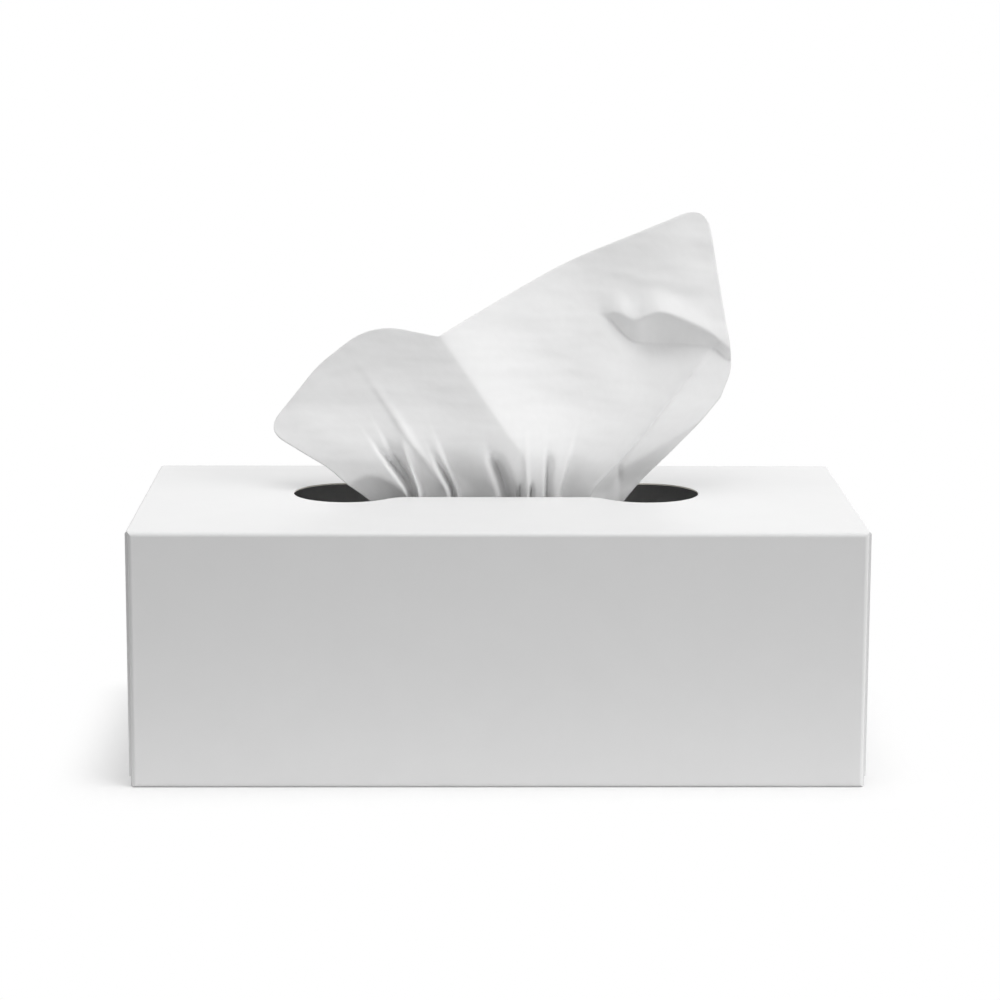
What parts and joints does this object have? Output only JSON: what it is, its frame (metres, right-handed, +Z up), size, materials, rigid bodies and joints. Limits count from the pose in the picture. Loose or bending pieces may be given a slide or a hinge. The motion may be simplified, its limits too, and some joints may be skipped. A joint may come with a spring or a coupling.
{
  "type": "tissue box",
  "caption": "White card tissue box with a dumbbell slot in its top, and a soft white sheet standing gathered in the slot, ready to be pulled out.",
  "frame": {"origin": "on the table, under the middle of the carton", "axes": "+X along the carton's length, to the right seen from the front, +Y to the back, +Z up"},
  "size_m": [0.23, 0.12, 0.1719],
  "materials": {
    "white_board": "matt white coated folding board, grey-white inside",
    "stacked_tissue": "soft white tissue seen at its folded edges",
    "tissue": "soft white two-ply tissue, finely creped"
  },
  "bodies": {
    "root": {"carton": "white_board", "sheet_stack": "stacked_tissue", "top_sheet": "tissue"}
  },
  "joints": []
}
